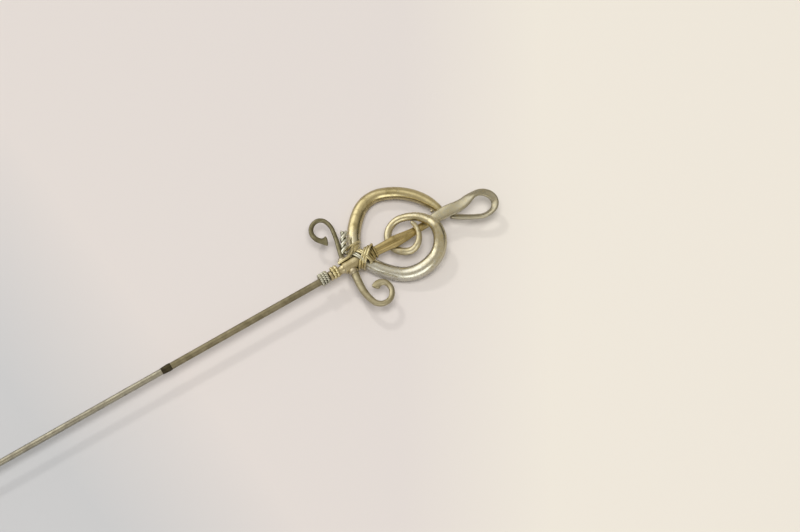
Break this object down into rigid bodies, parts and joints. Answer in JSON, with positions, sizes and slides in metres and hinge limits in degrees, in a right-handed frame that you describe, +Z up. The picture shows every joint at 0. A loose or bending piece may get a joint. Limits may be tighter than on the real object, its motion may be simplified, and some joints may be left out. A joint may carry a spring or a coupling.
{
  "type": "hat pin",
  "caption": "Hat pin with a long tapered steel pin, a ringed collar and a heavy gilt wire head bent into a treble clef with small side scrolls.",
  "frame": {"origin": "on the table plane, under the middle of the whole pin's bounding box", "axes": "+X along the pin from its point towards the clef's top loop, +Z up off the table, +Y to the side of the thin left scroll"},
  "size_m": [0.1776, 0.0213, 0.0063],
  "materials": {
    "steel": "polished, worn gilding near the joint",
    "shank_brass": "dull, lightly tarnished",
    "gilt_wire": "polished pale gilt",
    "gilt_bright": "bright gilt",
    "gilt_dull": "greenish worn gilt",
    "solder_dark": "rough oxidised solder",
    "solder_pale": "satin gilded solder"
  },
  "bodies": {
    "root": {"pin_shaft": "steel", "joint_solder": "solder_dark", "shank": "shank_brass", "twisted_rings": "gilt_dull", "collar_band": "gilt_wire", "beaded_ring": "gilt_bright", "neck_sleeve": "gilt_wire", "socket_barrel": "gilt_wire", "clef_scroll": "gilt_wire", "clef_stem_loop": "gilt_wire", "crossing_solder": "solder_pale", "lashing_inner": "gilt_bright", "lashing_outer": "gilt_bright", "lashing_tail": "gilt_dull", "left_scroll": "gilt_dull", "right_scroll": "gilt_wire", "scroll_solder": "solder_pale"}
  },
  "joints": []
}
